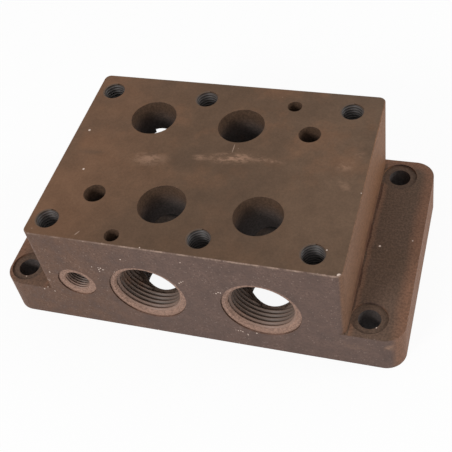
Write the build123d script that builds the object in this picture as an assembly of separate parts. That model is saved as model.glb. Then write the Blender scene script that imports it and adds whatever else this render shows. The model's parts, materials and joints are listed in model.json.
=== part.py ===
from build123d import *
from math import radians, tan
import os

# Ported manifold block (subplate) for a size 25 directional valve, cast in one piece.
#
# Frame, in millimetres: +Z up, +X right along the long side, +Y to the back.
# The origin is the centre of the casting's footprint, on its underside.
#
# The valve bolts down on the machined top face. Each main passage is cross-drilled:
# a valve port comes down from the top, a threaded port comes in from the front or the
# back face, and a second threaded port comes up from below, and the three meet.
# The valve's own ports are the same after half a turn about its centre, while the
# threaded ports at the back stand a little wider apart than those in front.

# --- Casting -----------------------------------------------------------------------
body_width = 154.5            # block above the flanges, left to right
body_depth = 115.0            # block and flanges, front to back
body_height = 68.2
flange_reach = 27.0           # how far each flange stands out at its foot
flange_thickness = 23.5
flange_corner_radius = 10.0
edge_radius = 3.5             # the block's upright corners and the flanges' upper edges
flange_draft = 1.5            # degrees, on the flanges' ends
root_radius = 4.0             # hollow between the block's walls and the flanges
top_edge_break = 0.4

# --- Valve interface on the top face --------------------------------------------------
valve_centre_x = -3.0         # the valve sits a little left and forward of the middle
valve_centre_y = -1.0
valve_bolt_spacing_x = 130.2
valve_bolt_spacing_y = 92.1
middle_bolt_offset_x = 11.9   # two more bolts on the same rows, one each side
valve_port_radius = 12.0
valve_port_y = 28.55          # two rows of ports, from the valve's centre
inner_port_x = 11.9           # P in front and A behind
outer_port_x = 35.7           # T in front and B behind
pilot_hole_radius = 5.6
pilot_hole_x = 47.6                           # X at the back and Y at the front
back_pilot_hole_y, front_pilot_hole_y = 27.05, 26.95
pin_radius = 3.75
pin_depth = 8.0
back_pin_x, back_pin_y = 35.7, 46.05
front_pin_x, front_pin_y = -29.4, -50.85

# --- M12 threads for the valve's bolts ----------------------------------------------------
bolt_major_radius = 6.0
bolt_drill_radius = 5.1
bolt_thread_depth = 24.0
bolt_drill_depth = 27.0

# --- Threaded ports, G1 for the main lines and G1/4 for the pilots ---------------------------
passage_height = 32.7         # axes of the front and back ports, above the underside
crossing_stop = 4.0           # the holes from above and below stop this far short of those axes
pilot_overrun = 3.0           # the pilots' holes from above go this far past them
front_inner_line_x = -17.2    # P, from the valve's centre
front_outer_line_x = 40.2     # T
back_inner_line_x = 21.7      # A
back_outer_line_x = -41.2     # B
under_port_y = 26.5           # ports underneath, from the valve's centre
main_major_radius = 16.63
main_drill_radius = 15.35
passage_radius = 14.5         # bore of the front and back ports beyond their threads
passage_end_step = 2.0        # that bore ends this far short of the far wall of the port underneath
main_thread_depth = 19.0
under_thread_depth = 15.0
main_mouth_chamfer = 1.0
main_spotface_radius = 19.75
pilot_line_x = 55.3
pilot_major_radius = 6.58
pilot_drill_radius = 5.9
pilot_thread_depth = 12.5
pilot_mouth_chamfer = 0.5
pilot_spotface_radius = 10.2
spotface_depth = 0.8

# --- Flange holes for M10 screws ----------------------------------------------------------
flange_hole_spacing_x = 180.0
flange_hole_spacing_y = 92.0
flange_hole_shift_x = -3.8    # middle of the four holes, from the middle of the casting
flange_hole_radius = 5.5
flange_spotface_radius = 8.9
flange_spotface_depth = 1.0

drill_point_angle = 118.0     # included angle at the end of a drilled hole


def point_length(radius):
    """Length of the cone that a twist drill leaves at the end of its hole."""
    return radius / tan(radians(drill_point_angle / 2))


def drilled_hole(radius, depth):
    """A plain blind hole along -Z from the origin, with its drill point."""
    with BuildPart() as hole:
        with BuildSketch(Plane.XZ):
            Polygon(
                (0, 0),
                (radius, 0),
                (radius, -depth),
                (0, -depth - point_length(radius)),
                align=None,
            )
        revolve(axis=Axis.Z)
    return hole.part


def tapped_hole(major_radius, drill_radius, thread_depth, drill_depth, pointed=True):
    """A tapped blind hole along -Z: the thread at its major radius, then the drilled end."""
    tip = point_length(drill_radius) if pointed else 0
    with BuildPart() as hole:
        with BuildSketch(Plane.XZ):
            Polygon(
                (0, 0),
                (major_radius, 0),
                (major_radius, -thread_depth),
                (drill_radius, -thread_depth),
                (drill_radius, -drill_depth),
                (0, -drill_depth - tip),
                align=None,
            )
        revolve(axis=Axis.Z)
    return hole.part


def chamfered(hole, radius, mouth):
    """The same hole with a 45 degree chamfer round its mouth."""
    return hole + Pos(0, 0, -mouth / 2) * Cone(radius, radius + mouth, mouth)


def spotfaced(port, spotface_radius):
    """The same port below a shallow machined ring that squares up the cast face."""
    ring = Pos(0, 0, -spotface_depth) * extrude(Circle(spotface_radius), 2 * spotface_depth)
    return Pos(0, 0, -spotface_depth) * port + ring


def front_outline():
    """The casting seen from the front: a foot with drafted ends, hollow roots and the block."""
    end_slope = flange_thickness * tan(radians(flange_draft))
    half_body = body_width / 2
    half_foot = half_body + flange_reach
    with BuildSketch(Plane.XZ) as outline:
        Polygon(
            (-half_foot, 0),
            (half_foot, 0),
            (half_foot - end_slope, flange_thickness),
            (half_body, flange_thickness),
            (half_body, body_height),
            (-half_body, body_height),
            (-half_body, flange_thickness),
            (-half_foot + end_slope, flange_thickness),
            align=None,
        )
        roots = [v for v in outline.vertices() if v.Z == flange_thickness and abs(v.X) == half_body]
        fillet(roots, root_radius)
    return outline.sketch


def is_upright(edge):
    """True for an edge that lies across the Y axis."""
    return abs(edge.tangent_at(0.5).Y) < 0.5


def casting():
    """The block and its two flanges before machining, with every cast edge rounded."""
    body = extrude(front_outline(), body_depth / 2, both=True)
    ends = body.faces().sort_by(Axis.X)
    body = fillet((ends[0].edges() + ends[-1].edges()).filter_by(is_upright), flange_corner_radius)
    sides = body.faces().sort_by(Axis.Y)
    walls = [
        edge for edge in (sides[0].edges() + sides[-1].edges()).filter_by(is_upright)
        if abs(abs(edge.center().X) - body_width / 2) < edge_radius / 2
        and edge.length > (body_height - flange_thickness) / 2
    ]
    body = fillet(walls, edge_radius)     # runs on round the roots and the flanges' upper edges
    return chamfer(body.faces().sort_by(Axis.Z)[-1].edges(), top_edge_break)


def on_top(x, y):
    """A hole's place on the top face, x and y from the valve's centre."""
    return Pos(valve_centre_x + x, valve_centre_y + y, body_height)


def on_front(x):
    """A port's place on the front face, x from the valve's centre; the hole runs inwards."""
    return Pos(valve_centre_x + x, -body_depth / 2, passage_height) * Rot(90, 0, 0)


def on_back(x):
    """The same on the back face."""
    return Pos(valve_centre_x + x, body_depth / 2, passage_height) * Rot(-90, 0, 0)


def underneath(x, y):
    """The same on the underside."""
    return Pos(valve_centre_x + x, valve_centre_y + y, 0) * Rot(180, 0, 0)


def valve_bolts():
    """Six tapped holes: four corners and two on the same rows nearer the middle."""
    hole = tapped_hole(bolt_major_radius, bolt_drill_radius, bolt_thread_depth, bolt_drill_depth)
    half_x, half_y = valve_bolt_spacing_x / 2, valve_bolt_spacing_y / 2
    places = [(x, y) for x in (-half_x, half_x) for y in (-half_y, half_y)]
    places += [(-middle_bolt_offset_x, half_y), (middle_bolt_offset_x, -half_y)]
    return [on_top(x, y) * hole for x, y in places]


def locating_pins():
    """Two plain holes for the pins that stop the valve going on the wrong way round."""
    hole = drilled_hole(pin_radius, pin_depth)
    return [on_top(back_pin_x, back_pin_y) * hole, on_top(front_pin_x, front_pin_y) * hole]


def main_passage(valve_port_x, line_x, side_port, side):
    """One passage: down from the valve, in from the side face and up from below.

    side is -1 for the front and +1 for the back.
    """
    valve_port = drilled_hole(valve_port_radius, body_height - passage_height - crossing_stop)
    hole = tapped_hole(
        main_major_radius, main_drill_radius, under_thread_depth,
        passage_height - crossing_stop, pointed=False
    )
    under_port = chamfered(hole, main_major_radius, main_mouth_chamfer)
    return [
        on_top(valve_port_x, side * valve_port_y) * valve_port,
        side_port,
        underneath(line_x, side * under_port_y) * under_port,
    ]


def side_port_depth(side, reach):
    """Depth of a side port whose full bore ends at a given distance from the valve's centre."""
    return body_depth / 2 - side * valve_centre_y - reach - spotface_depth


def main_passages():
    """P and T in front, A and B behind them."""
    holes = []
    for side, place, inner_line_x, outer_line_x in (
        (-1, on_front, front_inner_line_x, front_outer_line_x),
        (1, on_back, back_inner_line_x, back_outer_line_x),
    ):
        depth = side_port_depth(side, under_port_y - main_drill_radius + passage_end_step)
        hole = tapped_hole(main_major_radius, passage_radius, main_thread_depth, depth, pointed=False)
        port = spotfaced(chamfered(hole, main_major_radius, main_mouth_chamfer), main_spotface_radius)
        holes += main_passage(side * inner_port_x, inner_line_x, place(inner_line_x) * port, side)
        holes += main_passage(-side * outer_port_x, outer_line_x, place(outer_line_x) * port, side)
    return holes


def pilot_passages():
    """Y in front and X behind: a small port from the side meets a hole from the top."""
    holes = []
    for side, place, hole_y in ((-1, on_front, front_pilot_hole_y), (1, on_back, back_pilot_hole_y)):
        depth = side_port_depth(side, hole_y - pilot_hole_radius)
        tapped = tapped_hole(pilot_major_radius, pilot_drill_radius, pilot_thread_depth, depth)
        port = spotfaced(chamfered(tapped, pilot_major_radius, pilot_mouth_chamfer), pilot_spotface_radius)
        hole = drilled_hole(pilot_hole_radius, body_height - passage_height + pilot_overrun)
        holes += [place(side * pilot_line_x) * port, on_top(side * pilot_hole_x, side * hole_y) * hole]
    return holes


def flange_holes():
    """Four through holes with shallow spotfaces for the screws' heads."""
    bore = Cylinder(flange_hole_radius, 3 * flange_thickness)
    seat = Cylinder(flange_spotface_radius, body_height, align=(Align.CENTER, Align.CENTER, Align.MIN))
    tool = bore + Pos(0, 0, flange_thickness - flange_spotface_depth) * seat
    half_x, half_y = flange_hole_spacing_x / 2, flange_hole_spacing_y / 2
    return [Pos(flange_hole_shift_x + x, y, 0) * tool for x in (-half_x, half_x) for y in (-half_y, half_y)]


def manifold_block():
    """The casting with every hole drilled, as one solid."""
    block = casting()
    for hole in valve_bolts() + locating_pins() + main_passages() + pilot_passages() + flange_holes():
        block -= hole
    block.label = "manifold_block"
    return block


def main():
    os.makedirs("parts", exist_ok=True)
    export_step(manifold_block(), "parts/manifold_block.step")


main()
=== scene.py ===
import bpy
import json
import math
import numpy as np
from mathutils import Matrix, Vector


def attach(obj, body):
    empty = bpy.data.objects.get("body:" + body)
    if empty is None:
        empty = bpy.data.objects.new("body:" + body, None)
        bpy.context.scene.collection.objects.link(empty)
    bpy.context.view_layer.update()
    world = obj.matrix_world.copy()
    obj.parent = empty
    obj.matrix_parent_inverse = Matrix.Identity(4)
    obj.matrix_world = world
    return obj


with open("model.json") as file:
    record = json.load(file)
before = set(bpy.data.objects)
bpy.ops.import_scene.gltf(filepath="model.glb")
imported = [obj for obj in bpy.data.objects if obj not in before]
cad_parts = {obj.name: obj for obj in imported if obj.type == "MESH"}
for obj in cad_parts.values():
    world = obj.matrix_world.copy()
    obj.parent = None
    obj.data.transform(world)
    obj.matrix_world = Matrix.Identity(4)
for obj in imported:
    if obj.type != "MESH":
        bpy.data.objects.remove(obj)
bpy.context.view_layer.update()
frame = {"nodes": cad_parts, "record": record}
block = frame["nodes"]["manifold_block"]
mounts = {mount["name"]: mount for mount in frame["record"]["mounts"]}
openings = {opening["name"]: opening for opening in frame["record"]["physics"]["openings"]}
mm = 0.001
print("frame loaded")


class Signal:
    # a shader socket that takes part in plain arithmetic
    def __init__(self, material, socket):
        self.material = material
        self.socket = socket

    def maths(self, operation, first, second=0.0):
        return self.material.node("ShaderNodeMath", {"operation": operation}, {0: first, 1: second})

    def __add__(self, other):
        return self.maths("ADD", self, other)

    def __sub__(self, other):
        return self.maths("SUBTRACT", self, other)

    def __rsub__(self, other):
        return self.maths("SUBTRACT", other, self)

    def __mul__(self, other):
        return self.maths("MULTIPLY", self, other)

    def __pow__(self, other):
        return self.maths("POWER", self, other)

    __radd__ = __add__
    __rmul__ = __mul__

    def magnitude(self):
        return self.maths("ABSOLUTE", self)

    def atLeast(self, other):
        return self.maths("MAXIMUM", self, other)

    def atMost(self, other):
        return self.maths("MINIMUM", self, other)

    def over(self, low, high):
        # 0 below low, 1 above high, smooth between
        return self.material.node(
            "ShaderNodeMapRange", {"interpolation_type": "SMOOTHSTEP"},
            {"Value": self, "From Min": low, "From Max": high},
        )

    def under(self, low, high):
        # 1 below low, 0 above high
        return 1.0 - self.over(low, high)


class Material:
    def __init__(self, name):
        self.data = bpy.data.materials.new(name)
        self.data.use_nodes = True
        self.tree = self.data.node_tree
        self.tree.nodes.clear()
        self.place = self.node("ShaderNodeTexCoord", output="Object")
        split = self.node("ShaderNodeSeparateXYZ", inputs={0: self.place}).socket.node
        # the place in millimetres
        self.x, self.y, self.z = (Signal(self, split.outputs[i]) * 1000.0 for i in range(3))
        facing = self.node("ShaderNodeTexCoord", output="Normal")
        split = self.node("ShaderNodeSeparateXYZ", inputs={0: facing}).socket.node
        self.right, self.back, self.up = (Signal(self, split.outputs[i]) for i in range(3))

    def node(self, kind, settings=None, inputs=None, output=0):
        made = self.tree.nodes.new(kind)
        for key, value in (settings or {}).items():
            setattr(made, key, value)
        for key, value in (inputs or {}).items():
            socket = made.inputs[key]
            if isinstance(value, Signal):
                self.tree.links.new(value.socket, socket)
            else:
                socket.default_value = value
        return Signal(self, made.outputs[output]) if made.outputs else None

    def noise(self, scale, detail=3.0, roughness=0.55, stretch=(1, 1, 1), shift=(0, 0, 0)):
        # 0..1 noise, scale in features per metre
        moved = self.node("ShaderNodeMapping", inputs={
            "Vector": self.place, "Location": shift, "Scale": stretch,
        })
        return self.node("ShaderNodeTexNoise", inputs={
            "Vector": moved, "Scale": scale, "Detail": detail, "Roughness": roughness,
        })

    def blend(self, factor, first, second):
        # colour mix, colours as linear tuples or signals
        return self.node(
            "ShaderNodeMix", {"data_type": "RGBA", "clamp_factor": True},
            {0: factor, 6: first, 7: second}, output=2,
        )

    def shade(self, colour, factor):
        # the colour made darker or paler by a factor signal
        vector = self.node("ShaderNodeCombineXYZ", inputs={0: factor, 1: factor, 2: factor})
        return self.node("ShaderNodeVectorMath", {"operation": "MULTIPLY"}, {0: colour, 1: vector})

    def distance(self, first, second):
        return (first * first + second * second) ** 0.5

    def finishWith(self, surface):
        self.node("ShaderNodeOutputMaterial", inputs={"Surface": surface})
        return self.data


def paint(red, green, blue):
    # screen colour 0..255 to the linear tuple a socket takes
    def linear(value):
        share = value / 255
        return share / 12.92 if share <= 0.04045 else ((share + 0.055) / 1.055) ** 2.4
    return (linear(red), linear(green), linear(blue), 1.0)


view = {
    "aim": (6.8, -10.8, 34.1), "distance": 442.9,      # mm
    "azimuth": 25.35, "elevation": 48.87, "roll": -12.25,      # degrees
    "lens": 69.18, "sensor": 36.0,
}


def makeCamera():
    azimuth, elevation, roll = (math.radians(view[key]) for key in ("azimuth", "elevation", "roll"))
    outward = Vector((
        math.cos(elevation) * math.sin(azimuth),
        -math.cos(elevation) * math.cos(azimuth),
        math.sin(elevation),
    ))
    level = Vector((0, 0, 1)).cross(outward).normalized()
    upright = outward.cross(level)
    across = level * math.cos(roll) + upright * math.sin(roll)
    rise = outward.cross(across)
    lens = bpy.data.cameras.new("camera")
    lens.lens = view["lens"]
    lens.sensor_width = view["sensor"]
    lens.clip_start = 0.01
    camera = bpy.data.objects.new("camera", lens)
    camera.matrix_world = Matrix.Translation((Vector(view["aim"]) + outward * view["distance"]) * mm) @ \
        Matrix((across, rise, outward)).transposed().to_4x4()
    bpy.context.scene.collection.objects.link(camera)
    bpy.context.scene.camera = camera


studio = {
    "ambient": 0.55,
    "floorSize": 4.0, "floorColour": (0.9, 0.9, 0.9, 1.0), "floorGlow": 0.93,
    # place in metres, size in metres, watts
    "lamps": {
        "keyLamp": ((-0.50, -1.05, 0.75), 0.35, 8.0),
        "sideLamp": ((1.15, 0.25, 0.60), 0.40, 5.0),
    },
}


def makeStudio():
    for name, (place, size, power) in studio["lamps"].items():
        lamp = bpy.data.lights.new(name, "AREA")
        lamp.size = size
        lamp.energy = power
        holder = bpy.data.objects.new(name, lamp)
        holder.location = place
        holder.rotation_euler = (Vector((0, 0, 0.03)) - Vector(place)).to_track_quat("-Z", "Y").to_euler()
        bpy.context.scene.collection.objects.link(holder)

    world = bpy.data.worlds.new("world")
    bpy.context.scene.world = world
    world.use_nodes = True
    nodes, links = world.node_tree.nodes, world.node_tree.links
    nodes.clear()
    path = nodes.new("ShaderNodeLightPath")
    seen = nodes.new("ShaderNodeMath")
    seen.operation = "MAXIMUM"
    seenToo = nodes.new("ShaderNodeMath")
    seenToo.operation = "MAXIMUM"
    strength = nodes.new("ShaderNodeMapRange")
    strength.inputs["To Min"].default_value = studio["ambient"]
    strength.inputs["To Max"].default_value = 1.0
    sky = nodes.new("ShaderNodeBackground")
    sky.inputs["Color"].default_value = (1, 1, 1, 1)
    end = nodes.new("ShaderNodeOutputWorld")
    links.new(path.outputs["Is Camera Ray"], seen.inputs[0])
    links.new(path.outputs["Is Glossy Ray"], seen.inputs[1])
    links.new(seen.outputs[0], seenToo.inputs[0])
    links.new(path.outputs["Is Transmission Ray"], seenToo.inputs[1])
    links.new(seenToo.outputs[0], strength.inputs["Value"])
    links.new(strength.outputs[0], sky.inputs["Strength"])
    links.new(sky.outputs[0], end.inputs["Surface"])

    half = studio["floorSize"] / 2
    mesh = bpy.data.meshes.new("floor")
    corners = [(-half, -half, 0), (half, -half, 0), (half, half, 0), (-half, half, 0)]
    mesh.from_pydata(corners, [], [(0, 1, 2, 3)])
    floor = bpy.data.objects.new("floor", mesh)
    bpy.context.scene.collection.objects.link(floor)
    # white where the eye meets it, with a share of plain matt so that the shadow shows
    matt = Material("floorWhite")
    camera, glossy, through = (
        matt.node("ShaderNodeLightPath", output=name)
        for name in ("Is Camera Ray", "Is Glossy Ray", "Is Transmission Ray")
    )
    mesh.materials.append(matt.finishWith(matt.node("ShaderNodeMixShader", inputs={
        0: camera.atLeast(glossy).atLeast(through) * studio["floorGlow"],
        1: matt.node("ShaderNodeBsdfDiffuse", inputs={"Color": studio["floorColour"]}),
        2: matt.node("ShaderNodeEmission", inputs={"Color": (1, 1, 1, 1), "Strength": 1.0}),
    })))


makeCamera()
makeStudio()
bpy.context.scene.view_settings.view_transform = "Standard"
print("camera and studio made")


# the block's own layout, in mm from the middle of its footprint and up from its underside
layout = {
    "bodyX": 77.25, "bodyY": 57.5, "topZ": 68.2, "flangeZ": 23.5, "footX": 104.25,
    "mainSeat": 19.75, "pilotSeat": 10.2, "mainRadius": 16.63,
    "threadEnd": 37.7,                              # the main threads' inner ends, from the middle in y
    "passageEnd": 16.0,                             # the passages' flat ends lie nearer the middle in y
    "flangeHoles": (-3.8, 90.0, 46.0, 8.9),        # shift to the right, half spacings, seat radius
    "rootLine": 78.5,                               # where the cutter stopped on the flange, in x
}

castTones = {
    "topLeft": paint(112, 82, 61), "topMiddle": paint(94, 72, 55), "topRight": paint(102, 80, 63),
    "topDark": paint(84, 66, 52), "topWarm": paint(122, 86, 62), "scuff": paint(158, 124, 102),
    "front": paint(102, 82, 74), "frontWarm": paint(105, 78, 62), "frontDark": paint(82, 66, 60),
    "wallDeep": paint(116, 86, 67), "wallBright": paint(122, 86, 61), "crease": paint(80, 50, 37),
    "bead": paint(124, 92, 73),
    "flangeDark": paint(93, 73, 59), "flangeGrey": paint(98, 78, 66), "flangeEdge": paint(124, 90, 71),
    "seat": paint(152, 122, 107), "seatWall": paint(70, 52, 43), "screwSeat": paint(88, 70, 58),
    "boreRim": paint(86, 66, 52), "bore": paint(82, 74, 71), "boreEnd": paint(120, 105, 95),
    "boreShade": paint(14, 12, 12),
    "threadWall": paint(104, 87, 76), "rust": paint(132, 84, 54),
    "speck": paint(214, 194, 180), "wear": paint(160, 136, 120),
}

# rubbed places and scratches on the top: middle, half length, half width in mm, turn in degrees, strength
topScuffs = (
    (-31.0, -1.5, 9.0, 4.5, 4, 0.55), (-6.0, 3.0, 3.5, 2.0, 0, 0.5), (11.0, 5.0, 12.5, 3.6, 8, 0.8),
    (29.0, 5.5, 7.5, 1.8, 0, 0.45), (66.5, 7.5, 5.0, 3.2, 20, 0.4), (71.5, 15.0, 3.0, 2.6, 60, 0.3),
    (67.8, -5.0, 4.5, 2.0, -50, 0.35),
)
topScratches = (
    (9.3, 11.4, 3.3, 0.22, 92, 0.8), (0.6, 34.5, 1.6, 0.2, 100, 0.6), (-49.5, -53.3, 1.8, 0.3, 60, 0.7),
)
# small chips: middle, radius in mm
topChips = ((-70.2, 13.9, 0.7), (-62.5, -13.3, 0.6), (67.7, -43.8, 0.4), (75.6, -56.4, 1.0))
# clusters of pale specks on the front: middle and reach in x and z, mm
speckClusters = (
    (-40.5, 47.0, 5.0, 1.6), (-3.0, 46.8, 8.0, 2.2), (3.2, 61.0, 1.5, 1.2), (19.3, 44.4, 4.0, 2.5),
    (-27.8, 56.8, 2.0, 2.0), (26.0, 13.0, 7.0, 3.0), (-76.0, 28.0, 4.0, 6.0),
)
# rubbed places on the front: the same four, then strength
frontScuffs = ((97.5, 17.4, 3.8, 3.2, 0.8), (102.0, 16.5, 2.2, 1.2, 0.6), (80.0, 15.0, 10.0, 4.0, 0.2))
flangeChips = ((83.7, -2.5, 0.6), (99.0, 3.5, 0.4), (90.0, -50.0, 0.4))


def oval(material, first, second, middle, reach, turn=0.0):
    # 1 in the middle of an oval, 0 at its rim
    away, rise = first - middle[0], second - middle[1]
    cosine, sine = math.cos(math.radians(turn)), math.sin(math.radians(turn))
    along = (away * cosine + rise * sine) * (1 / reach[0])
    across = (rise * cosine - away * sine) * (1 / reach[1])
    return material.distance(along, across).under(0.0, 1.0)


def ring(material, away, rise, radius):
    # 1 inside the circle
    return material.distance(away, rise).under(radius - 0.12, radius + 0.12)


def sidePorts(kinds):
    # middles and heights of the front and back ports of these kinds, in mm: (x, z, side)
    found = []
    for name, mount in mounts.items():
        if mount["kind"] == "threaded_hole" and abs(mount["axis"][1]) > 0.5 and name.split("_")[1] in kinds:
            found.append((mount["pos_m"][0] / mm, mount["pos_m"][2] / mm, mount["axis"][1]))
    return found


def topColour(iron, mottle):
    x, y = iron.x, iron.y
    colour = iron.blend(x.over(-75, -5), castTones["topLeft"], castTones["topMiddle"])
    colour = iron.blend(x.over(0, 75), colour, castTones["topRight"])
    broad = iron.noise(17, 3, 0.6, shift=(1.7, 0.4, 0.2))
    colour = iron.blend(broad.over(0.44, 0.64) * 0.45, colour, castTones["topDark"])
    warm = iron.noise(30, 4, 0.65, shift=(0.2, 2.1, 0.9))
    warmth = warm.over(0.47, 0.66) * (0.15 + y.over(-35, 30) * 0.3)
    colour = iron.blend(warmth, colour, castTones["topWarm"])
    colour = iron.shade(colour, (0.72 + mottle * 0.56) * (0.9 + y.over(-52, -22) * 0.1))
    colour = iron.blend(oval(iron, x, y, (-63, -1.2), (11, 2.6), 4) * 0.5, colour, castTones["topDark"])
    ragged = iron.noise(420, 4, 0.75, stretch=(0.45, 1, 1)).over(0.44, 0.58)
    for middleX, middleY, length, width, turn, strength in topScuffs:
        rubbed = oval(iron, x, y, (middleX, middleY), (length * 1.5, width * 1.5), turn)
        colour = iron.blend(rubbed * (0.2 + ragged) * strength, colour, castTones["scuff"])
    for middleX, middleY, length, width, turn, strength in topScratches:
        line = oval(iron, x, y, (middleX, middleY), (length * 1.3, width * 1.6), turn).over(0.0, 0.5)
        colour = iron.blend(line * strength, colour, castTones["wear"])
    for middleX, middleY, radius in topChips:
        chip = oval(iron, x, y, (middleX, middleY), (radius * 1.4, radius * 1.4)).over(0.1, 0.5)
        colour = iron.blend(chip, colour, castTones["speck"])
    return colour


def frontColour(iron, mottle, grain):
    x, z = iron.x, iron.z
    colour = iron.blend(x.under(-70, 0) * 0.75, castTones["front"], castTones["frontWarm"])
    colour = iron.blend((mottle * 0.5 + grain * 0.5).over(0.45, 0.6) * 0.7, colour, castTones["frontDark"])
    ragged = iron.noise(500, 3, 0.7).over(0.42, 0.6)
    for middleX, middleZ, length, width, strength in frontScuffs:
        rubbed = oval(iron, x, z, (middleX, middleZ), (length, width))
        colour = iron.blend(rubbed * (0.3 + ragged * 0.7) * strength, colour, castTones["scuff"])
    # a pale line along the top front edge, stronger towards the right: rubbed wear and a painted highlight
    edge = z.over(layout["topZ"] - 0.9, layout["topZ"] - 0.4) * iron.noise(160, 3, 0.7).over(0.3, 0.6)
    return iron.blend(edge * (0.3 + x.over(-60, -10) * 0.4), colour, castTones["wear"])


def wallColour(iron, mottle):
    x, y, z = iron.x, iron.y, iron.z
    towardsBack = y.over(-70, 62) + (mottle - 0.5) * 0.5
    colour = iron.blend(towardsBack, castTones["wallDeep"], castTones["wallBright"])
    # the end of the foot is the colour of the flange's rim, and towards its top it takes the rounded rim's
    # painted light
    foot = x.magnitude().over(layout["bodyX"] + 8, layout["bodyX"] + 12)
    return iron.blend(foot * 0.8, colour, castTones["flangeEdge"])


def rootWave(iron):
    # distance from the middle, with the slow and the fine wander of the line along the roots
    slow = (iron.noise(14, 1, 0.5, shift=(0.3, 0.55, 0)) - 0.5) * 4.0
    return iron.x.magnitude() + slow + (iron.noise(140, 2, 0.6) - 0.5) * 1.6


def flangeColour(iron, mottle):
    x, y = iron.x.magnitude(), iron.y
    worn = iron.noise(40, 3, 0.6, shift=(0.5, 0.3, 0.8))
    colour = iron.blend(worn.over(0.35, 0.7) * 0.5 + y.under(-50, 10) * 0.3,
                        castTones["flangeDark"], castTones["flangeGrey"])
    # the rim is painted paler, as painted light on a broad rounded edge; it follows the end and the back edge
    # round their corner
    endward = (x - (layout["footX"] - 10.0)).atLeast(0.0)
    backward = (y - (layout["bodyY"] - 9.0)).atLeast(0.0)
    rim = (iron.distance(endward, backward) + worn * 4.0).over(3.5, 9.5)
    colour = iron.blend(rim * (0.6 + mottle * 0.6), colour, castTones["flangeEdge"])
    colour = iron.blend(iron.x.under(-60, -50) * 0.3, colour, castTones["flangeEdge"])
    line = layout["rootLine"]
    wavy = rootWave(iron)
    colour = iron.blend(wavy.over(line + 0.1, line + 0.4) * wavy.under(line + 0.8, line + 3.2) * 0.75,
                        colour, castTones["bead"])
    shift, halfX, halfY, seat = layout["flangeHoles"]
    for side in (-1, 1):
        for back in (-1, 1):
            away, rise = iron.x - (shift + side * halfX), y - back * halfY
            colour = iron.blend(ring(iron, away, rise, seat + 0.1) * 0.8, colour, castTones["screwSeat"])
    for middleX, middleY, radius in flangeChips:
        chip = oval(iron, iron.x, y, (middleX, middleY), (radius * 1.5, radius * 1.5)).over(0.1, 0.5)
        colour = iron.blend(chip, colour, castTones["speck"])
    return colour


def grains(iron, scale):
    # cells of 1 / scale metres: distance from the cell's own point, and a number drawn for the cell
    cells = iron.node("ShaderNodeTexVoronoi", {"voronoi_dimensions": "3D"}, {
        "Vector": iron.place, "Scale": scale,
    })
    tint = Signal(iron, cells.socket.node.outputs["Color"])
    return cells, iron.node("ShaderNodeSeparateXYZ", inputs={0: tint})


def onTheFront(iron):
    return iron.y.under(-layout["bodyY"] + 0.5, -layout["bodyY"] + 1.5)


def specks(iron):
    # sparse pale grains, thicker in the clusters on the front
    cells, chance = grains(iron, 850.0)
    dense = None
    for middleX, middleZ, reachX, reachZ in speckClusters:
        cluster = oval(iron, iron.x, iron.z, (middleX, middleZ), (reachX * 1.6, reachZ * 1.6))
        dense = cluster if dense is None else dense.atLeast(cluster)
    patchy = iron.noise(45, 3, 0.6, shift=(0.6, 0.8, 0.3)).over(0.45, 0.7)
    dense = (dense * 0.4 + iron.z.under(0.5, 5.0) * 0.01 + patchy * 0.003) * onTheFront(iron)
    chosen = (chance + dense).over(0.9990, 0.9996)
    return chosen * cells.under(0.18, 0.42)


def dust(iron):
    # many faint grains on the front
    cells, chance = grains(iron, 1250.0)
    return chance.over(0.9, 0.96) * cells.under(0.2, 0.55) * onTheFront(iron)


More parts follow.
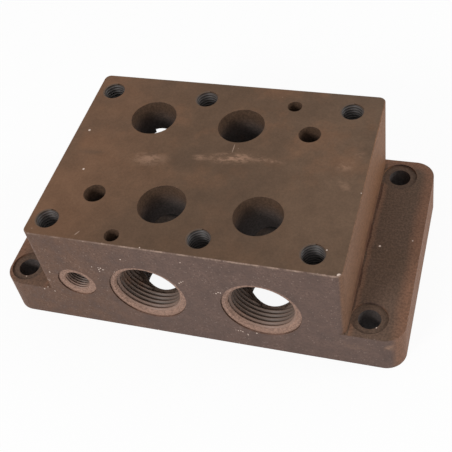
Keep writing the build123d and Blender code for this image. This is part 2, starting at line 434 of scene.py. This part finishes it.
def makeCastIron():
    iron = Material("castIron")
    x, y, z = iron.x, iron.y, iron.z
    topZ, flangeZ, bodyX, bodyY = (layout[key] for key in ("topZ", "flangeZ", "bodyX", "bodyY"))
    facesTop = iron.up.over(0.8, 0.97)
    facesSide = iron.right.magnitude().over(0.35, 0.75)
    onTop = facesTop * z.over(topZ - 0.5, topZ - 0.2)
    onFlange = iron.up.over(0.6, 0.99) * z.under(flangeZ + 1.0, flangeZ + 2.4)
    onFlange = onFlange * z.over(flangeZ - 2.6, flangeZ - 1.6)

    mottle = iron.noise(95, 5, 0.65, shift=(0.3, 0.1, 0.7))
    grain = iron.noise(900, 3, 0.65)

    colour = iron.blend(facesSide, frontColour(iron, mottle, grain), wallColour(iron, mottle))
    # rounded rims of the flange take the rim's warmer brown, painted paler as painted light on the rounding,
    # less at the front
    rounded = iron.up.over(0.1, 0.6) * z.under(flangeZ + 0.5, flangeZ + 1.0)
    colour = iron.blend(rounded * (0.2 + y.over(-57, -48) * 0.6), colour, castTones["flangeEdge"])
    colour = iron.blend(onFlange, colour, flangeColour(iron, mottle))
    wavy = rootWave(iron)
    line = layout["rootLine"]
    crease = wavy.over(line - 1.6, line - 0.4) * wavy.under(line, line + 0.4)
    crease = crease * z.over(flangeZ - 0.1, flangeZ) * z.under(flangeZ + 5.0, flangeZ + 8.0)
    # broken up, and gone near the front and the back
    broken = iron.noise(55, 3, 0.6, shift=(0.1, 0.2, 0.6)).over(0.38, 0.55)
    broken = broken * y.over(-52, -25) * y.under(38, 54)
    colour = iron.blend(crease * broken * 0.75, colour, castTones["crease"])
    colour = iron.blend(onTop, colour, topColour(iron, mottle))
    colour = iron.blend(dust(iron) * 0.16, colour, castTones["speck"])
    colour = iron.blend(specks(iron), colour, castTones["speck"])

    # inside the holes: brown near the valve's face, dark further down; at the passages' ends a painted shadow
    # above and painted light below
    inside = (bodyX - x.magnitude()).over(1.2, 1.3) * z.atMost(topZ - z).over(0.02, 0.1)
    shift, halfX, halfY, seat = layout["flangeHoles"]
    away = (x - shift).magnitude() - halfX
    bolted = ring(iron, away, y.magnitude() - halfY, seat - 2.8) * z.under(flangeZ - 1.3, flangeZ - 1.1)
    within = inside.atLeast(bolted)
    deep = y.magnitude().under(bodyY - 2.2, bodyY - 1.7)
    boreFilmAndLight = iron.blend(z.under(topZ - 17, topZ - 3), castTones["boreRim"], castTones["bore"])
    rusty = iron.noise(60, 3, 0.6, shift=(0.4, 0.9, 0.1))
    boreFilmAndLight = iron.blend(rusty.over(0.58, 0.8) * 0.35, boreFilmAndLight, castTones["rust"])
    passageEnd = layout["passageEnd"]
    ends = iron.back.magnitude().over(0.9, 0.98) * y.magnitude().under(passageEnd, passageEnd + 1.0)
    # painted shadow on the upper part of each passage's flat end
    boreFilmAndLight = iron.blend(ends * z.over(39, 43), boreFilmAndLight, castTones["boreShade"])
    # painted light on the lower part of each passage's flat end, as if lit through the front port
    boreFilmAndLight = iron.blend(ends * z.under(38, 42), boreFilmAndLight, castTones["boreEnd"])
    colour = iron.blend(within * deep, colour, boreFilmAndLight)

    # machined seats round the side ports, a painted shadow on their outer wall at the sides, and the wall
    # behind the threads
    for kinds, radius in (("ptab", layout["mainSeat"]), ("xy", layout["pilotSeat"])):
        for middleX, middleZ, side in sidePorts(kinds):
            away, rise = x - middleX, z - middleZ
            here = (y * side).over(bodyY - 2.0, bodyY - 1.9)
            seat = ring(iron, away, rise, radius - 0.05) * here
            # the seat is paler towards its lower side, a painted highlight, and grainy
            seatGrainAndHighlight = 0.6 + rise.under(-radius, radius * 0.3) * 0.25 + grain.over(0.35, 0.65) * 0.3
            colour = iron.blend(seat * seatGrainAndHighlight, colour, castTones["seat"])
            # painted shadow: the seat's recessed outer wall darkened left and right of the port
            wall = ring(iron, away, rise, radius + 0.12) * (1.0 - ring(iron, away, rise, radius - 0.2))
            wall = wall * here * (y * side).under(bodyY - 0.15, bodyY - 0.02)
            wall = wall * away.magnitude().over(radius * 0.35, radius * 0.75)
            colour = iron.blend(wall * 0.8, colour, castTones["seatWall"])
            if kinds == "ptab":
                threadEnd = layout["threadEnd"]
                threaded = ring(iron, away, rise, layout["mainRadius"] + 0.3)
                threaded = threaded * (y * side).over(threadEnd - 0.2, threadEnd + 0.2)
                threaded = threaded * (y * side).under(bodyY - 2.0, bodyY - 1.8)
                colour = iron.blend(threaded, colour, castTones["threadWall"])

    skin = 1.0 - onTop
    sandy = grain.over(0.3, 0.7) - 0.5
    colour = iron.shade(colour, 1.0 + sandy * (0.16 + skin * 0.34))

    height = iron.noise(1500, 2, 0.5, shift=(0.9, 0.2, 0.1)) * (0.2 + skin * 0.8) + mottle * skin * 0.6
    bump = iron.node("ShaderNodeBump", inputs={"Strength": 0.4, "Distance": 0.0003, "Height": height})
    return iron.finishWith(iron.node("ShaderNodeBsdfPrincipled", inputs={
        "Base Color": colour, "Metallic": 0.0, "Roughness": 0.78 - mottle * 0.2, "Normal": bump,
        "Specular IOR Level": 0.22,
    }))


portThreadTones = {"root": paint(104, 87, 77), "crest": paint(124, 104, 92), "rust": paint(134, 92, 64)}
boltThreadTones = {"root": paint(40, 34, 32), "crest": paint(98, 91, 88), "rust": paint(80, 60, 50)}


def makeThreadFinish(name, tones):
    metal = Material(name)
    crest = metal.node("ShaderNodeAttribute", {"attribute_name": "crest"}, output="Fac")
    patches = metal.noise(70, 3, 0.6)
    grain = metal.noise(700, 3, 0.6)
    colour = metal.blend(crest.over(0.45, 0.98), tones["root"], tones["crest"])
    colour = metal.blend(patches.over(0.52, 0.75) * 0.6, colour, tones["rust"])
    # what lies nearly flush with the valve's face is the colour of the face
    flush = metal.z.over(layout["topZ"] - 1.4, layout["topZ"] - 0.5)
    colour = metal.blend(flush, colour, castTones["topDark"])
    # and the first turns of a side port are as worn as its seat
    mouth = metal.y.magnitude().over(layout["bodyY"] - 6.0, layout["bodyY"] - 2.5) * 0.75
    colour = metal.blend(mouth * metal.z.under(45, 50), colour, castTones["seat"])
    colour = metal.shade(colour, 0.8 + grain * 0.4)
    return metal.finishWith(metal.node("ShaderNodeBsdfPrincipled", inputs={
        "Base Color": colour, "Metallic": 0.0, "Roughness": 0.5, "Specular IOR Level": 0.4,
    }))


castIron = makeCastIron()
portThreadFinish = makeThreadFinish("portThreadFinish", portThreadTones)
boltThreadFinish = makeThreadFinish("boltThreadFinish", boltThreadTones)
block.data.materials.clear()
block.data.materials.append(castIron)
print("finishes made")


threads = {
    "pitches": {16.63: 2.309, 6.58: 1.337, 6.0: 1.75},      # by major radius, mm
    "ridgeShare": 0.96,            # width of a ridge's foot, as a share of the pitch
    "depthShare": 0.45,            # height of the ridge, as a share of the pitch
    "profileSteps": 7,
    "stepsPerTurn": 72,
    "buried": 0.12,                # mm into the wall
    "fadeLength": 4.0,             # mm over which a ridge rises at its ends
    "shortBy": 0.35,               # mm kept back from a crossing hole
    "runOut": 0.3,                 # mm kept between the last turn and the end of the wall
    "flush": 0.02,                 # mm that a first turn stays below a plain mouth
    "lowestEnd": 0.12,             # height left at a ridge's ends, as a share
    "shortestRun": 8,              # steps; what is shorter is left out
}

boltCorners = (("front_left", -1, -1), ("front_right", 1, -1), ("back_left", -1, 1), ("back_right", 1, 1))

# holes that cut into the side ports' threads: radius and the heights between which they run, mm
crossings = {"under": (15.35, 0.0, 28.7), "valve": (12.0, 36.7, 68.2)}


def crossingHoles():
    # (x, y, radius, lowest z, highest z) in mm
    holes = []
    for line in "ptab":
        under = mounts[f"port_{line}_under"]["pos_m"]
        holes.append((under[0] / mm, under[1] / mm, *crossings["under"]))
        low, high = openings[f"valve_port_{line}"]["box_m"]
        holes.append(((low[0] + high[0]) / 2 / mm, (low[1] + high[1]) / 2 / mm, *crossings["valve"]))
    return holes


def ridgePath(mouth, axis, radius, length):
    # the helix in the wall: at angle t it lies pitch t / 2 pi below the mouth and has turned by t.
    # gives its depth, its direction out from the axis, and whether the wall is there
    pitch = threads["pitches"][radius]
    turns = (length - threads["runOut"] - pitch * 0.5) / pitch
    angle = np.linspace(0, 2 * math.pi * turns, int(turns * stepsAround(radius)) + 1)
    sideways = np.cross(axis, (0, 0, 1.0) if abs(axis[2]) < 0.5 else (1.0, 0, 0))
    sideways = sideways / np.linalg.norm(sideways)
    upward = np.cross(axis, sideways)
    radial = np.cos(angle)[:, None] * sideways + np.sin(angle)[:, None] * upward
    depth = pitch * angle / (2 * math.pi)
    wall = np.array(mouth) - depth[:, None] * axis + radial * radius

    solid = np.ones(len(angle), bool)
    for holeX, holeY, holeRadius, low, high in crossingHoles() if abs(axis[2]) < 0.5 and radius > 10 else ():
        apart = np.hypot(wall[:, 0] - holeX, wall[:, 1] - holeY)
        margin = threads["shortBy"] + pitch * 0.5
        solid &= ~((apart < holeRadius + margin) & (wall[:, 2] > low - margin) & (wall[:, 2] < high + margin))
    return depth, radial, solid


def stepsAround(radius):
    # steps in a turn, fewer on a small hole
    return max(20, int(threads["stepsPerTurn"] * (radius / layout["mainRadius"]) ** 0.5))


def ridgeProfile(pitch):
    # from the mouth's side to the inner side: place along the axis, in from the wall by
    # height cos^2(pi across / foot), crest value; its two ends are sunk into the wall
    across = np.linspace(0.5, -0.5, threads["profileSteps"])
    bulge = np.cos(math.pi * across) ** 2
    height = threads["depthShare"] * pitch
    profile = np.stack((across * threads["ridgeShare"] * pitch, bulge * height, bulge), axis=1)
    profile = np.concatenate((profile[:1], profile, profile[-1:]))
    profile[[0, -1], 1] = -threads["buried"]
    return profile


def ridgeMesh(name, mouth, axis, radius, length):
    # one profile carried down the helix; it fades and closes wherever a crossing hole takes the wall away.
    # a plain mouth cuts the first turn off flat, and a chamfered one cuts it to a 45 degree cone
    axis = np.array(axis, float)
    plain = axis[2] > 0.5
    depth, radial, solid = ridgePath(mouth, axis, radius, length)
    profile = ridgeProfile(threads["pitches"][radius])
    count = len(profile)
    corners, faces, crests = [], [], []
    edges = np.flatnonzero(np.diff(np.concatenate(([0], solid.astype(int), [0]))))
    start = 0
    for first, last in zip(edges[::2], edges[1::2]):
        if last - first < threads["shortestRun"]:
            continue
        run = slice(first, last)
        steps = np.arange(last - first)
        stepLength = radius * 2 * math.pi / stepsAround(radius)
        # a run that starts at the mouth doesn't rise there
        fromStart = steps if first > 0 else steps + len(depth)
        reach = np.clip(np.minimum(fromStart, steps[::-1]) * stepLength / threads["fadeLength"], 0, 1)
        lowest = threads["lowestEnd"]
        fade = lowest + (1 - lowest) * reach ** 2 * (3 - 2 * reach)
        inward = np.where(profile[None, :, 1] > 0, profile[None, :, 1] * fade[:, None], profile[None, :, 1])
        below = depth[run][:, None] - profile[None, :, 0]
        if plain:
            cut = np.interp(depth[run], profile[::-1, 0], profile[::-1, 1])
            inward = np.where(below < 0, np.minimum(inward, np.maximum(cut, 0)[:, None]), inward)
            below = np.maximum(below, threads["flush"])
        else:
            inward = np.minimum(inward, np.maximum(below, 0))
            below = np.maximum(below, 0)
        outward = radial[run][:, None, :] * (radius - inward)[:, :, None]
        grid = np.array(mouth) - below[:, :, None] * axis + outward
        corners.append(grid.reshape(-1, 3))
        crests.append((profile[None, :, 2] * fade[:, None]).reshape(-1))
        rows, columns = np.meshgrid(np.arange(last - first - 1), np.arange(count), indexing="ij")
        nextColumn = (columns + 1) % count
        quads = np.stack((
            rows * count + columns, (rows + 1) * count + columns,
            (rows + 1) * count + nextColumn, rows * count + nextColumn,
        ), axis=-1).reshape(-1, 4) + start
        faces += quads.tolist()
        faces.append(list(range(start, start + count)))
        lastRow = start + (last - first - 1) * count
        faces.append(list(range(lastRow + count - 1, lastRow - 1, -1)))
        start += grid.shape[0] * grid.shape[1]
    mesh = bpy.data.meshes.new(name)
    mesh.from_pydata((np.concatenate(corners) * mm).tolist(), [], faces)
    values = mesh.attributes.new("crest", "FLOAT", "POINT")
    values.data.foreach_set("value", np.concatenate(crests).astype(np.float32))
    mesh.polygons.foreach_set("use_smooth", [True] * len(mesh.polygons))
    return mesh


def cutThread(name, mouth, axis, radius, length):
    mesh = ridgeMesh(name, mouth, axis, radius, length)
    mesh.materials.append(boltThreadFinish if axis[2] > 0.5 else portThreadFinish)
    piece = bpy.data.objects.new(name, mesh)
    bpy.context.scene.collection.objects.link(piece)
    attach(piece, "root")


def cutThreads():
    for name, mount in mounts.items():
        if mount["kind"] == "threaded_hole":
            length = mount["dims"]["length_mm"]
            mouth = np.array(mount["pos_m"]) / mm + np.array(mount["axis"]) * length / 2
            cutThread("thread_" + name, mouth, mount["axis"], mount["dims"]["r_mm"], length)
    corners = mounts["valve_bolts"]
    middle = mounts["valve_bolt_back"]
    halfX, halfY = corners["dims"]["spacing_x_mm"] / 2, corners["dims"]["spacing_y_mm"] / 2
    length = middle["dims"]["length_mm"]
    mouthZ = middle["pos_m"][2] / mm + length / 2
    middleX, middleY = (value / mm for value in corners["pos_m"][:2])
    for name, sideX, sideY in boltCorners:
        mouth = (middleX + sideX * halfX, middleY + sideY * halfY, mouthZ)
        cutThread("thread_valve_bolt_" + name, mouth, (0, 0, 1), corners["dims"]["hole_r_mm"], length)


cutThreads()
print("threads cut")
